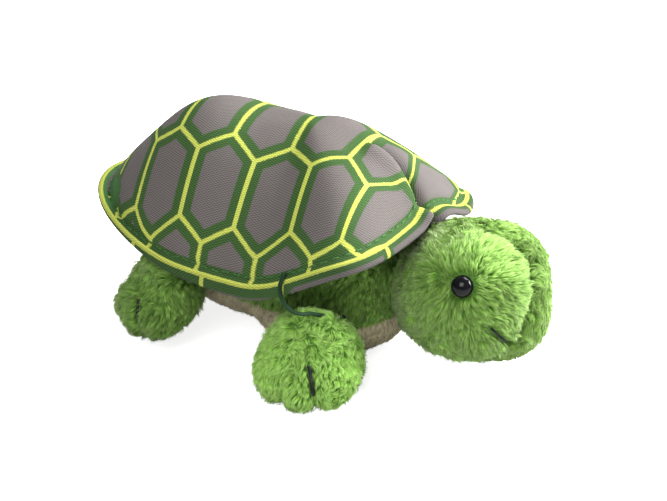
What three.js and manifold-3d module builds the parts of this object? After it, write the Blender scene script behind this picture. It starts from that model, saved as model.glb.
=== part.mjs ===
// Plush tortoise finger puppet: a woven, stuffed shell sewn on a plush body, a stuffed head on a soft
// neck, four stuffed legs, and a finger sleeve that opens at the rear.
// Millimetres, +Z up, +X towards the head, origin on the floor under the middle of the toy.
import * as THREE from 'three';
import { mergeVertices } from 'three/addons/utils/BufferGeometryUtils.js';
import Module from 'manifold-3d';

const wasm = await Module();
wasm.setup();

// Cloth and thread
const PLUSH = 2; // plush cloth, with its pile pressed flat
const SHELL_CLOTH = 1.2; // woven shell cloth
const LINING_CLOTH = 1; // lining cloth
const SEAM = 0.3; // gap where two pieces are sewn together or lie on each other
const THREAD = 1; // embroidery thread

// Body: a rounded form, fuller at the chest than at the rump
const BODY_LENGTH = 72;
const BODY_WIDTH = 41;
const BODY_HEIGHT = 38;
const BELLY_PRESS = 0.8; // how far the belly is flattened on the floor
const CHEST_POWER = 3.6;
const RUMP_POWER = 1.9;
const CHEST_START = 0.45; // from the middle, a line this steep towards the chest meets its full form

// Finger sleeve
const FINGER_BORE = 16;
const FINGER_STOP = 20; // stuffing between the sleeve's end and the chest
const SLEEVE_HEM = 1.8; // width of the hem turned out round the opening
const OPENING_RIM = 1.2; // plush left round the sleeve at the opening

// Shell
const SHELL_REAR = 60.5; // from the widest place back to the tail end
const SHELL_FRONT = 34.5; // from the widest place forward to the lip
const SHELL_WIDTH = 80;
const SHELL_SHIFT = 10; // widest place ahead of the body's middle
const CROWN_HEIGHT = 25.1; // crown above the body's back at the widest place
const CROWN_SPAN = 12; // about this far from the widest place the crown starts to rise
const LIP_LIFT = 0.2; // slope of that rise towards the lip
const TAIL_LIFT = 0.36; // the same towards the tail end
const RIM_DROP = 6; // rim at the sides below the body's back
const LIP_RISE = 6.6; // rim at the front above the body's back
const TAIL_RISE = 4; // rim at the tail above the rim at the sides
const LIP_POWER = 5; // over 2 gives a blunt front end in plan
const TAIL_POWER = 1.82; // under 2 gives a pointed tail end in plan
const SIDE_BULGE = 1.56; // fullness of the dome at the sides
const LIP_BULGE = 3.17; // fullness of the dome at the front
const TAIL_BULGE = 2.18; // fullness of the dome at the tail end
const SIDE_DROP = 4; // height of the rolled hem under the rim at the sides
const LIP_DROP = 2.4; // the same at the front
const TAIL_DROP = 2.4; // the same at the tail end
const HEM_ROLL = 0.8; // rounding of the hem's edge
const SIDE_FLARE = 0.4; // how far the hem stands out past the rim at the sides
const LIP_FLARE = 4.25; // the same at the front
const TAIL_FLARE = 3.5; // the same at the tail end
const HEM_WIDTH = 8; // width of the cloth turned under
const WADDING_GAP = 0.7; // wadding inside its cover

// Head and neck
const HEAD_LENGTH = 40;
const HEAD_WIDTH = 36.5;
const HEAD_HEIGHT = 35.4;
const HEAD_POWER = 2.25;
const CHIN_HEIGHT = 5.2; // chin above the floor
const NECK_BALL = 17; // the soft stuffed neck between body and head
const NECK_GAP = 2.1; // between chest and head
const NECK_RISE = 1; // neck above the head's middle

// Eyes: plastic domes with a shank through the plush and a washer inside
const EYE_DIAMETER = 6;
const EYE_DOME = 2.4; // height of the dome
const SHANK_DIAMETER = 2;
const WASHER_DIAMETER = 7;
const WASHER_THICKNESS = 1;
const SHANK_END = 1; // shank past the washer
const EYE_LOOK = new THREE.Vector3(0.24, 0.84, 0.505); // from the head's middle to the left eye

// Mouth corner and front end of the mouth line, from the head's middle, on the left side
const MOUTH_CORNER = new THREE.Vector3(0.67, 0.73, -0.11);
const MOUTH_FRONT = new THREE.Vector3(0.8, 0.34, -0.49);

// Legs: size of each paw, its middle ahead of the body's, where it points in plan, how it slopes
// and how far its sole hangs above the floor
const FRONT_LEG = { length: 29, width: 27, thick: 14, ahead: 27.2, turn: 78, slope: 23, lift: 0 };
const REAR_LEG = { length: 24, width: 23, thick: 15, ahead: -22.2, turn: 114, slope: 28, lift: 3.8 };
const LEG_GAP = 0.13; // a paw stands this far off the body where it is sewn on
const LEG_POWER = 2.3;
const SOLE_PRESS = 0.7; // how far a sole is flattened on the floor
const TOE_ANGLE = 20; // the two notches between the toes, from the middle of the paw
const TOE_SPREAD = 9;
const TOE_NOTCH = 2.2;
const CLAW_LOW = 8; // the claw stitch runs in the notch between these heights, in degrees
const CLAW_HIGH = 46;

// Fineness of the round forms
const BODY_SECTORS = 30;
const BODY_RINGS = 16;
const HEAD_SECTORS = 22;
const HEAD_RINGS = 12;
const LEG_SECTORS = 36;
const LEG_RINGS = 10;
const SHELL_SECTORS = 36;
const ROUND_SECTORS = 16;
const THREAD_SIDES = 6;

// Elastic hang loop at the rim: its route goes through these points
const LOOP_THICKNESS = 1.3;
const LOOP_SIDES = 8;
const LOOP_STEPS = 26;
const LOOP_ROUTE = [
  [10.6, -39.5, 37.5],
  [10.6, -40.3, 36.4],
  [10.3, -40.9, 34.9],
  [10.5, -41.3, 33.3],
  [11.0, -41.5, 31.7],
  [11.8, -41.4, 30.2],
  [13.0, -41.1, 28.9],
  [14.4, -40.5, 27.7],
  [15.6, -39.4, 27.1],
  [16.5, -37.8, 27.2],
  [17.0, -36.0, 27.4],
  [17.5, -34.0, 27.8],
  [17.7, -32.2, 28.5],
  [17.9, -30.7, 29.8],
  [17.9, -29.7, 31.7],
  [17.9, -29.0, 34.0],
  [17.9, -28.5, 36.8],
];

const PLUSH_GREEN = new THREE.MeshStandardMaterial({ color: 0x6f9f3f, roughness: 0.95, metalness: 0 });
const BELLY_TAN = new THREE.MeshStandardMaterial({ color: 0xb9ab86, roughness: 0.95, metalness: 0 });
const SHELL_WEAVE = new THREE.MeshStandardMaterial({ color: 0x6f6a66, roughness: 0.9, metalness: 0 });
const LINING_GREY = new THREE.MeshStandardMaterial({ color: 0x5a5f58, roughness: 0.9, metalness: 0 });
const STUFFING_WHITE = new THREE.MeshStandardMaterial({ color: 0xf2f0ea, roughness: 1, metalness: 0 });
const EYE_BLACK = new THREE.MeshStandardMaterial({ color: 0x050506, roughness: 0.12, metalness: 0 });
const WASHER_WHITE = new THREE.MeshStandardMaterial({ color: 0xdcdcd6, roughness: 0.5, metalness: 0 });
const THREAD_BLACK = new THREE.MeshStandardMaterial({ color: 0x10100f, roughness: 0.8, metalness: 0 });
const LOOP_GREEN = new THREE.MeshStandardMaterial({ color: 0x1d3a1e, roughness: 0.7, metalness: 0 });

const toy = new THREE.Group();
const radians = THREE.MathUtils.degToRad;

// Closed geometry as a solid that can be cut and joined.
function solidOf(geometry) {
  const bare = geometry.clone();
  bare.deleteAttribute('normal');
  bare.deleteAttribute('uv');
  const merged = mergeVertices(bare, 1e-4);
  return new wasm.Manifold(new wasm.Mesh({
    numProp: 3,
    vertProperties: merged.attributes.position.array,
    triVerts: new Uint32Array(merged.index.array),
  }));
}

function geometryOf(solid) {
  const mesh = solid.getMesh();
  const geometry = new THREE.BufferGeometry();
  geometry.setAttribute('position', new THREE.BufferAttribute(mesh.vertProperties, 3));
  geometry.setIndex(new THREE.BufferAttribute(mesh.triVerts, 1));
  geometry.computeVertexNormals();
  return geometry;
}

function addPiece(parent, name, solid, material) {
  const mesh = new THREE.Mesh(geometryOf(solid), material);
  mesh.name = name;
  parent.add(mesh);
}

// A sphere whose skin is moved out to skin(direction). Its poles are on the Z axis, or on Y if asked.
function roundForm(skin, sectors, rings, poleOnY = false) {
  const geometry = new THREE.SphereGeometry(1, sectors, rings);
  if (!poleOnY) geometry.rotateX(Math.PI / 2);
  const position = geometry.attributes.position;
  const direction = new THREE.Vector3();
  for (let i = 0; i < position.count; i += 1) {
    direction.fromBufferAttribute(position, i).normalize();
    position.setXYZ(i, ...skin(direction).toArray());
  }
  return solidOf(geometry);
}

// A turned form whose profile of [radius, height] points changes with the angle round the Z axis.
function turnedForm(profile, sectors) {
  const count = profile(0).length;
  const blank = Array.from({ length: count }, () => new THREE.Vector2());
  const geometry = new THREE.LatheGeometry(blank, sectors);
  for (let i = 0; i <= sectors; i += 1) {
    const angle = ((i % sectors) / sectors) * 2 * Math.PI;
    profile(angle).forEach(([radius, height], j) => {
      const at = i * count + j;
      geometry.attributes.position.setXYZ(at, radius * Math.cos(angle), radius * Math.sin(angle), height);
    });
  }
  return solidOf(geometry);
}

// A round bar or disc along a direction, starting at a point.
function bar(start, direction, length, radius) {
  const geometry = new THREE.CylinderGeometry(radius, radius, length, ROUND_SECTORS);
  geometry.translate(0, length / 2, 0);
  const turn = new THREE.Quaternion().setFromUnitVectors(new THREE.Vector3(0, 1, 0), direction);
  geometry.applyQuaternion(turn);
  geometry.translate(start.x, start.y, start.z);
  return solidOf(geometry);
}

function ball(centre, radius) {
  return roundForm((direction) => direction.clone().multiplyScalar(radius).add(centre), ROUND_SECTORS, 10);
}

// A tube of the given thickness through a list of points.
function tube(points, thickness, sides, steps) {
  const section = new THREE.Shape();
  for (let i = 0; i < sides; i += 1) {
    const angle = (i / sides) * 2 * Math.PI;
    const corner = [Math.cos(angle) * thickness / 2, Math.sin(angle) * thickness / 2];
    if (i === 0) section.moveTo(...corner);
    else section.lineTo(...corner);
  }
  section.closePath();
  const path = new THREE.CatmullRomCurve3(points);
  return solidOf(new THREE.ExtrudeGeometry(section, { steps, bevelEnabled: false, extrudePath: path }));
}

// Everything on one side of a plane: a block much larger than the toy.
function halfSpace(normal, offset) {
  const size = 4 * (SHELL_REAR + SHELL_FRONT + HEAD_LENGTH);
  const geometry = new THREE.BoxGeometry(size, size, size);
  geometry.translate(0, size / 2, 0);
  geometry.applyQuaternion(new THREE.Quaternion().setFromUnitVectors(new THREE.Vector3(0, 1, 0), normal));
  geometry.translate(normal.x * offset, normal.y * offset, normal.z * offset);
  return solidOf(geometry);
}

const UP = new THREE.Vector3(0, 0, 1);
const DOWN = new THREE.Vector3(0, 0, -1);
const LEFT = new THREE.Vector3(0, 1, 0);
const RIGHT = new THREE.Vector3(0, -1, 0);
const BACKWARD = new THREE.Vector3(-1, 0, 0);

// Distance from the middle of a rounded form to its skin, along a unit direction.
function reach(direction, half, power) {
  const sum = Math.abs(direction.x / half.x) ** power
    + Math.abs(direction.y / half.y) ** power
    + Math.abs(direction.z / half.z) ** power;
  return sum ** (-1 / power);
}

// Distance from the middle of a rounded form to the plane that just touches it on the side of a normal.
function touching(normal, half, power) {
  const dual = power / (power - 1);
  const sum = Math.abs(normal.x * half.x) ** dual
    + Math.abs(normal.y * half.y) ** dual
    + Math.abs(normal.z * half.z) ** dual;
  return sum ** (1 / dual);
}

// Places along the toy, measured from the body's middle and then moved so that the toy is centred
const bodyZ = BODY_HEIGHT / 2 - BELLY_PRESS;
const bodyTop = bodyZ + BODY_HEIGHT / 2;
const headFromBody = BODY_LENGTH / 2 + NECK_GAP + HEAD_LENGTH / 2;
const noseFromBody = headFromBody + HEAD_LENGTH / 2;
const tailFromBody = SHELL_SHIFT - SHELL_REAR - TAIL_FLARE;
const bodyX = -(noseFromBody + tailFromBody) / 2;
const bodyMiddle = new THREE.Vector3(bodyX, 0, bodyZ);
const headMiddle = new THREE.Vector3(bodyX + headFromBody, 0, CHIN_HEIGHT + HEAD_HEIGHT / 2);
const chestX = bodyX + BODY_LENGTH / 2;
const neckMiddle = new THREE.Vector3(chestX + NECK_GAP / 2, 0, headMiddle.z + NECK_RISE);
const shellX = bodyX + SHELL_SHIFT;
const shellSeat = bodyTop + SEAM;

// Body panels, stuffing and finger sleeve
function bodyHalf(inset) {
  return new THREE.Vector3(BODY_LENGTH / 2 - inset, BODY_WIDTH / 2 - inset, BODY_HEIGHT / 2 - inset);
}

function bodyForm(inset) {
  const half = bodyHalf(inset);
  const skin = (direction) => {
    const ahead = THREE.MathUtils.smoothstep(direction.x, 0, CHEST_START);
    const power = THREE.MathUtils.lerp(RUMP_POWER, CHEST_POWER, ahead);
    return direction.clone().multiplyScalar(reach(direction, half, power)).add(bodyMiddle);
  };
  return roundForm(skin, BODY_SECTORS, BODY_RINGS);
}

const fingerDepth = BODY_LENGTH - FINGER_STOP;
const sleeveRadius = FINGER_BORE / 2 + LINING_CLOTH;
const sleeveHole = sleeveRadius + SEAM;
const openingRadius = sleeveHole + OPENING_RIM;
const shortSide = Math.min(BODY_WIDTH, BODY_HEIGHT) / 2;
const openingShare = (1 - (openingRadius / shortSide) ** RUMP_POWER) ** (1 / RUMP_POWER);
const openingX = bodyX - (BODY_LENGTH / 2) * openingShare;
const neckHole = ball(neckMiddle, NECK_BALL / 2 + SEAM);

function addBody() {
  const mouth = new THREE.Vector3(openingX, 0, bodyZ);
  const forward = new THREE.Vector3(1, 0, 0);
  const bore = bar(mouth.clone().addScaledVector(forward, -BODY_LENGTH), forward,
    BODY_LENGTH + fingerDepth + LINING_CLOTH + SEAM, sleeveHole);
  const beyond = halfSpace(BACKWARD, -openingX);
  const floor = halfSpace(DOWN, 0);
  const trim = (solid) => solid.subtract(bore).subtract(neckHole).subtract(beyond).subtract(floor);
  const skin = trim(bodyForm(0).subtract(bodyForm(PLUSH)));
  addPiece(toy, 'back_panel', skin.intersect(halfSpace(UP, bodyZ + SEAM / 2)), PLUSH_GREEN);
  addPiece(toy, 'belly_panel', skin.intersect(halfSpace(DOWN, SEAM / 2 - bodyZ)), BELLY_TAN);
  addPiece(toy, 'body_stuffing', trim(bodyForm(PLUSH + SEAM)), STUFFING_WHITE);

  const hem = FINGER_BORE / 2 + LINING_CLOTH + SLEEVE_HEM;
  const hemStart = -SEAM - LINING_CLOTH;
  const inner = FINGER_BORE / 2;
  const sleeveProfile = [
    [0, fingerDepth], [inner, fingerDepth], [inner, hemStart], [hem, hemStart], [hem, -SEAM],
    [sleeveRadius, -SEAM], [sleeveRadius, fingerDepth + LINING_CLOTH], [0, fingerDepth + LINING_CLOTH],
  ];
  const sleeve = turnedForm(() => sleeveProfile, ROUND_SECTORS);
  const laid = sleeve.rotate([0, 90, 0]).translate(mouth.toArray());
  addPiece(toy, 'finger_sleeve', laid, LINING_GREY);
}

// Shell cover, wadding and lining
function planRadius(angle) {
  const along = Math.cos(angle);
  const across = Math.abs(Math.sin(angle));
  const ahead = along > 0;
  const half = ahead ? SHELL_FRONT : SHELL_REAR;
  const power = ahead ? LIP_POWER : TAIL_POWER;
  return ((Math.abs(along) / half) ** power + (across / (SHELL_WIDTH / 2)) ** power) ** (-1 / power);
}

function rimHeight(angle) {
  const ahead = planRadius(angle) * Math.cos(angle);
  const lip = (RIM_DROP + LIP_RISE) * THREE.MathUtils.smoothstep(ahead, 0, SHELL_FRONT);
  const tail = TAIL_RISE * THREE.MathUtils.smoothstep(-ahead, SHELL_REAR / 3, SHELL_REAR);
  return shellSeat - RIM_DROP + lip + tail;
}

// A value that is one thing at the sides of the shell and others at its two ends.
function towardsEnd(angle, side, lip, tail) {
  const along = Math.cos(angle);
  const end = along > 0 ? lip : tail;
  return side + (end - side) * along ** 2;
}

function domeBulge(angle) {
  return towardsEnd(angle, SIDE_BULGE, LIP_BULGE, TAIL_BULGE);
}

function crownHeight(ahead) {
  const lift = ahead > 0 ? LIP_LIFT : TAIL_LIFT;
  return shellSeat + CROWN_HEIGHT + lift * (Math.hypot(ahead, CROWN_SPAN) - CROWN_SPAN);
}

const DOME_STEPS = [0, 0.25, 0.5, 0.68, 0.82, 0.92, 1];
const LINING_STEPS = [0, 0.3, 0.55, 0.78, 1];

// The dome from crown to rim, at a depth inside the cover.
function domeProfile(angle, depth) {
  const radius = planRadius(angle) - depth;
  const rim = rimHeight(angle);
  return DOME_STEPS.map((share) => {
    const crown = crownHeight(share * radius * Math.cos(angle)) - depth;
    return [share * radius, rim + (crown - rim) * (1 - share ** domeBulge(angle))];
  });
}

function hemFlare(angle) {
  return towardsEnd(angle, SIDE_FLARE, LIP_FLARE, TAIL_FLARE);
}

function hemFoot(angle) {
  return rimHeight(angle) - towardsEnd(angle, SIDE_DROP, LIP_DROP, TAIL_DROP);
}

// The hem stands out past the rim, rolls round its edge and is turned under.
function hemProfile(angle) {
  const edge = planRadius(angle) + hemFlare(angle);
  const foot = hemFoot(angle);
  return [
    [edge, foot + HEM_ROLL],
    [edge - HEM_ROLL, foot],
    [planRadius(angle) - HEM_WIDTH, foot],
  ];
}

// The inside of the hem, at a depth in the cloth and as far out as a flare takes it.
function hemInside(angle, depth, flare) {
  const foot = hemFoot(angle) + depth;
  return [
    [planRadius(angle) + flare - depth - HEM_ROLL, foot],
    [planRadius(angle) - HEM_WIDTH, foot],
  ];
}

// Underside of the lining: flat on the body's back, then out to the edge of the hem.
function liningProfile(angle, above) {
  const radius = planRadius(angle) - HEM_WIDTH - SEAM;
  const edge = hemFoot(angle);
  return LINING_STEPS.map((share) => [share * radius, shellSeat + (edge - shellSeat) * share ** 3 + above]);
}

function addShell() {
  const shell = new THREE.Group();
  shell.position.x = shellX;
  toy.add(shell);
  const inside = (angle, depth, flare) => [...domeProfile(angle, depth), ...hemInside(angle, depth, flare)];
  const cover = (angle) => [
    ...domeProfile(angle, 0),
    ...hemProfile(angle),
    ...inside(angle, SHELL_CLOTH, hemFlare(angle)).reverse(),
  ].reverse();
  const wadding = (angle) => [
    ...inside(angle, SHELL_CLOTH + WADDING_GAP, 0),
    ...liningProfile(angle, LINING_CLOTH + WADDING_GAP).reverse(),
  ].reverse();
  const lining = (angle) => [
    ...liningProfile(angle, LINING_CLOTH),
    ...liningProfile(angle, 0).reverse(),
  ].reverse();
  addPiece(shell, 'shell_cover', turnedForm(cover, SHELL_SECTORS), SHELL_WEAVE);
  addPiece(shell, 'shell_wadding', turnedForm(wadding, SHELL_SECTORS), STUFFING_WHITE);
  addPiece(shell, 'shell_lining', turnedForm(lining, SHELL_SECTORS), LINING_GREY);
}

function addHangLoop() {
  const route = LOOP_ROUTE.map((point) => new THREE.Vector3(...point));
  addPiece(toy, 'hang_loop', tube(route, LOOP_THICKNESS, LOOP_SIDES, LOOP_STEPS), LOOP_GREEN);
}

// Head, neck, eyes and mouth
function headSkin(direction, inset) {
  const half = new THREE.Vector3(HEAD_LENGTH / 2 - inset, HEAD_WIDTH / 2 - inset, HEAD_HEIGHT / 2 - inset);
  return direction.clone().multiplyScalar(reach(direction, half, HEAD_POWER)).add(headMiddle);
}

function headForm(inset) {
  return roundForm((direction) => headSkin(direction, inset), HEAD_SECTORS, HEAD_RINGS, true);
}

// Outward normal of the head's skin, from two short steps along it.
function headNormal(direction) {
  const here = headSkin(direction, 0);
  const side = new THREE.Vector3().crossVectors(UP, direction).normalize();
  const rise = new THREE.Vector3().crossVectors(direction, side);
  const step = 0.02;
  const alongSide = headSkin(direction.clone().addScaledVector(side, step).normalize(), 0).sub(here);
  const alongRise = headSkin(direction.clone().addScaledVector(rise, step).normalize(), 0).sub(here);
  return alongSide.cross(alongRise).normalize();
}

function sideOf(vector, side) {
  return new THREE.Vector3(vector.x, vector.y * side, vector.z).normalize();
}

const faceDrop = 0.5; // depth below a curved skin at which a flat disc as wide as an eye clears it
const washerDepth = PLUSH + SEAM + faceDrop;
const shankDepth = washerDepth + WASHER_THICKNESS + SHANK_END;

// Pocket in the plush and stuffing that takes an eye's shank and washer.
function eyePocket(side) {
  const look = sideOf(EYE_LOOK, side);
  const normal = headNormal(look);
  const inward = normal.clone().negate();
  const surface = headSkin(look, 0);
  const shankHole = bar(surface.clone().addScaledVector(normal, PLUSH), inward,
    PLUSH + shankDepth + SEAM, SHANK_DIAMETER / 2 + SEAM);
  const washerRoom = bar(surface.clone().addScaledVector(inward, PLUSH), inward,
    shankDepth + SEAM - PLUSH, WASHER_DIAMETER / 2 + SEAM);
  return { shankHole, washerRoom };
}

function addEye(side, name) {
  const look = sideOf(EYE_LOOK, side);
  const normal = headNormal(look);
  const turn = new THREE.Quaternion().setFromUnitVectors(UP, normal);
  const eye = new THREE.Group();
  eye.position.copy(headSkin(look, 0));
  eye.quaternion.copy(turn);
  toy.add(eye);
  const shank = SHANK_DIAMETER / 2;
  const dome = [90, 65, 40, 15].map((rise) => [
    Math.cos(radians(rise)) * EYE_DIAMETER / 2,
    SEAM + Math.sin(radians(rise)) * EYE_DOME,
  ]);
  dome[0][0] = 0;
  const eyeProfile = [
    ...dome, [EYE_DIAMETER / 2, SEAM], [shank, SEAM], [shank, -shankDepth], [0, -shankDepth],
  ].reverse();
  addPiece(eye, `eye_${name}`, turnedForm(() => eyeProfile, ROUND_SECTORS), EYE_BLACK);
  const bore = shank + SEAM;
  const rim = WASHER_DIAMETER / 2;
  const near = -washerDepth;
  const far = near - WASHER_THICKNESS;
  const washerProfile = [[bore, far], [rim, far], [rim, near], [bore, near], [bore, far]];
  addPiece(eye, `eye_washer_${name}`, turnedForm(() => washerProfile, ROUND_SECTORS), WASHER_WHITE);
}

function addMouth(side, name) {
  const clear = -(SEAM + THREAD / 2);
  const corner = sideOf(MOUTH_CORNER, side);
  const front = sideOf(MOUTH_FRONT, side);
  const points = [0, 0.25, 0.5, 0.75, 1].map((share) => headSkin(
    corner.clone().lerp(front, share).normalize(), clear));
  addPiece(toy, `mouth_stitch_${name}`, tube(points, THREAD, THREAD_SIDES, 8), THREAD_BLACK);
}

const SIDES = [[1, 'left'], [-1, 'right']];

function addHead() {
  const pockets = SIDES.map(([side]) => eyePocket(side));
  const skin = headForm(0).subtract(headForm(PLUSH)).subtract(neckHole);
  const pierced = pockets.reduce((solid, pocket) => solid.subtract(pocket.shankHole), skin);
  addPiece(toy, 'head_panel_left', pierced.intersect(halfSpace(LEFT, SEAM / 2)), PLUSH_GREEN);
  addPiece(toy, 'head_panel_right', pierced.intersect(halfSpace(RIGHT, SEAM / 2)), PLUSH_GREEN);
  const filling = headForm(PLUSH + SEAM).subtract(neckHole);
  const hollowed = pockets.reduce((solid, pocket) => solid.subtract(pocket.washerRoom), filling);
  addPiece(toy, 'head_stuffing', hollowed, STUFFING_WHITE);
  addPiece(toy, 'neck_core', ball(neckMiddle, NECK_BALL / 2), STUFFING_WHITE);
  SIDES.forEach(([side, name]) => {
    addEye(side, name);
    addMouth(side, name);
  });
}

// Legs
function legHalf(leg, inset) {
  return new THREE.Vector3(leg.length / 2 - inset, leg.width / 2 - inset, leg.thick / 2 - inset);
}

// Skin of a paw round its own middle: +X to the toes, +Z up through its top.
function legSkin(leg, direction, inset) {
  const out = reach(direction, legHalf(leg, inset), LEG_POWER);
  const fromNotch = (Math.abs(Math.atan2(direction.y, direction.x)) - radians(TOE_ANGLE)) / radians(TOE_SPREAD);
  const notch = (TOE_NOTCH / (leg.length / 2)) * Math.exp(-(fromNotch ** 2));
  return new THREE.Vector3(direction.x * out * (1 - notch), direction.y * out * (1 - notch), direction.z * out);
}

// A normal seen in a paw's own axes.
function inLegAxes(normal, turn, slope) {
  return normal.clone().applyAxisAngle(UP, -turn).applyAxisAngle(LEFT, -slope);
}

// How far to one side a paw's middle is when the paw, pushed in sideways, meets the body.
function seatedOut(leg, height) {
  const turn = radians(leg.turn);
  const slope = radians(leg.slope);
  let nearest = Infinity;
  for (let around = 20; around <= 160; around += 4) {
    for (let dip = 0; dip <= 72; dip += 4) {
      const level = Math.cos(radians(dip));
      const normal = new THREE.Vector3(
        Math.cos(radians(around)) * level, Math.sin(radians(around)) * level, -Math.sin(radians(dip)));
      const power = normal.x > 0 ? CHEST_POWER : RUMP_POWER;
      const own = touching(inLegAxes(normal, turn, slope), legHalf(leg, 0), LEG_POWER);
      const apart = touching(normal, bodyHalf(0), power) + own + LEG_GAP;
      const out = (apart - normal.x * leg.ahead - normal.z * (height - bodyZ)) / normal.y;
      nearest = Math.min(nearest, out);
    }
  }
  return nearest;
}

function addLeg(leg, side, name) {
  const slope = radians(leg.slope);
  const sinks = touching(inLegAxes(DOWN, 0, slope), legHalf(leg, 0), LEG_POWER);
  const height = sinks - SOLE_PRESS + leg.lift;
  const paw = new THREE.Group();
  paw.position.set(bodyX + leg.ahead, side * seatedOut(leg, height), height);
  paw.rotation.set(0, slope, side * radians(leg.turn), 'ZYX');
  toy.add(paw);
  paw.updateMatrix();

  const form = (inset) => roundForm((direction) => legSkin(leg, direction, inset), LEG_SECTORS, LEG_RINGS);
  const floorNormal = DOWN.clone().transformDirection(paw.matrix.clone().invert());
  const floor = halfSpace(floorNormal, height);
  const skin = form(0).subtract(form(PLUSH)).subtract(floor);
  addPiece(paw, `${name}_upper`, skin.intersect(halfSpace(UP, SEAM / 2)), PLUSH_GREEN);
  addPiece(paw, `${name}_sole`, skin.intersect(halfSpace(DOWN, SEAM / 2)), PLUSH_GREEN);
  addPiece(paw, `${name}_stuffing`, form(PLUSH + SEAM), STUFFING_WHITE);
  const clear = -(SEAM + THREAD / 2);
  [1, -1].forEach((toe) => {
    const across = radians(TOE_ANGLE) * toe;
    const points = [0, 1 / 3, 2 / 3, 1].map((share) => {
      const rise = radians(CLAW_LOW + (CLAW_HIGH - CLAW_LOW) * share);
      const direction = new THREE.Vector3(
        Math.cos(rise) * Math.cos(across), Math.cos(rise) * Math.sin(across), Math.sin(rise));
      return legSkin(leg, direction, clear);
    });
    const label = toe * side < 0 ? 'inner' : 'outer';
    addPiece(paw, `${name}_claw_${label}`, tube(points, THREAD, THREAD_SIDES, 6), THREAD_BLACK);
  });
}

addBody();
addShell();
addHangLoop();
addHead();
SIDES.forEach(([side, name]) => {
  addLeg(FRONT_LEG, side, `front_leg_${name}`);
  addLeg(REAR_LEG, side, `rear_leg_${name}`);
});

export default toy;
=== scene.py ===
"""Looks of a plush tortoise finger puppet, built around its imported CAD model.

Shapes are worked out in millimetres, with +X towards the head and +Z up, and are scaled to metres as meshes.
"""
import math

import bmesh
import bpy
import numpy as np
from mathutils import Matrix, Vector, bvhtree, kdtree, noise


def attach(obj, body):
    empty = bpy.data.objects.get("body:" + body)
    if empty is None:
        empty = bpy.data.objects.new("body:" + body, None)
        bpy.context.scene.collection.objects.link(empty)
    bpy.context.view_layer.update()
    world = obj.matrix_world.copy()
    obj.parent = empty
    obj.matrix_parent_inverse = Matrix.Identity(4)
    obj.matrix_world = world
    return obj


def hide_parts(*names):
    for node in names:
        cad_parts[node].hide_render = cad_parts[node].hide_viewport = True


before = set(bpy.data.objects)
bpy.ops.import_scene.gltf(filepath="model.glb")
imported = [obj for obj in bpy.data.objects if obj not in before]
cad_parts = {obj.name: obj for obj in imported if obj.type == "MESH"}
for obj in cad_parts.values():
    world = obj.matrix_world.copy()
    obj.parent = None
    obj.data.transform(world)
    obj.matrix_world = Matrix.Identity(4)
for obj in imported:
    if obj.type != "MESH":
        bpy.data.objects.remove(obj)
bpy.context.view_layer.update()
MM = 0.001

# Camera, as the photograph was taken
VIEW_TURN = math.radians(27)
VIEW_RISE = math.radians(27)
VIEW_DISTANCE = 0.7
VIEW_AIM = Vector((0.00354, 0.00271, 0.0236))
LENS = 137.9
SENSOR_WIDTH = 36

# Lamps: place in metres, size and power
LAMPS = {
    "front": ((0.1, -0.65, 0.65), 0.5, 7.8),
    "back": ((0.2, 0.48, 0.8), 0.5, 14),
    "side": ((0.7, 0.42, 0.45), 0.4, 28),
}
LAMP_AIM = Vector((0, 0, 0.02))
SKY_LIGHT = 0.25  # strength of the world on the toy, where the camera itself sees white
FLOOR_COLOUR = 0.7
FLOOR_GLOW = 0.8  # light of the floor that only the camera sees

# Body
BODY_MIDDLE = np.array([-12.05, 0, 18.2])
BODY_HALF = np.array([36, 20.5, 19])
BODY_INSET = 1.1  # from the fur's reach to the skin
CHEST_POWER = 3.6
RUMP_POWER = 1.9
CHEST_START = 0.45
CHEST = np.array([0.93, 0, -0.3])
CHEST_FULL = 4.4  # how much fuller the chest is than its pattern
CHEST_SPREAD = 0.32
SEAM_HEIGHT = 15  # seam between back and belly
SEAM_FALL = 0.1  # and how it falls towards the chest
SEAM_DEPTH = 0.9
SEAM_WIDTH = 1.4
SEAT_HEIGHT = 35.5  # the shell is sewn on above this, so the back has no pile there
BODY_COMB = np.array([-0.2, 0, -0.8])  # the way the pile lies
SKIN_FLOOR = 0.4  # skins are pressed flat this high
BODY_WALL = 1.2
BELLY_LIFT = 4  # how much higher the belly hangs behind the chest than its pattern
OPENING_X = -41.34
FINGER_RADIUS = 8
FINGER_DEPTH = 52
NECK_MIDDLE = np.array([25, 0, 23.9])
NECK_RADIUS = 8.5
NECK_INSET = 0.3
NECK_BAND = 2.5  # half the length that shows between body and head
NECK_COMB = np.array([0, 0, -1])

# Shell
SHELL_X = -2.05
SHELL_SEAT = 37.5
SHELL_FRONT = 34.5
SHELL_REAR = 60.5
SHELL_SIDE = 40
LIP_POWER = 5
TAIL_POWER = 1.82
CROWN_HEIGHT = 25.1
CROWN_SPAN = 12
LIP_LIFT = 0.2
TAIL_LIFT = 0.36
RIM_DROP = 6
LIP_RISE = 6.6
TAIL_RISE = 4
SIDE_BULGE = 1.56
LIP_BULGE = 3.17
TAIL_BULGE = 2.18
SIDE_DROP = 4
LIP_DROP = 2.4
TAIL_DROP = 1.2
HEM_ROLL = 0.8
SIDE_FLARE = 0.4
LIP_FLARE = 4.25
TAIL_FLARE = 3.5
HEM_WIDTH = 8
SHELL_WALL = 0.8
LINING_WALL = 0.7
CORNER_DROOP = 10  # how much lower the far front corner hangs than the near one
CORNER_ACROSS = (0, 29)  # from where to where it comes on, across the shell
CORNER_ALONG = (-7, 21)  # and along it
RIDGE = ((-49, -1.4), (-33, 0.7), (-15, -1.4), (4, 0.8), (17, -1.6))  # full and slack places
RIDGE_LONG = 8
RIDGE_WIDE = 16
DART_TIP = 16.5
DART_DEPTH = 6
# painted shade in the fold of the dart
DART_PAINTED_SHADE = 0.85
DART_DRAW = 2.6  # how far the dart draws in the lip
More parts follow.
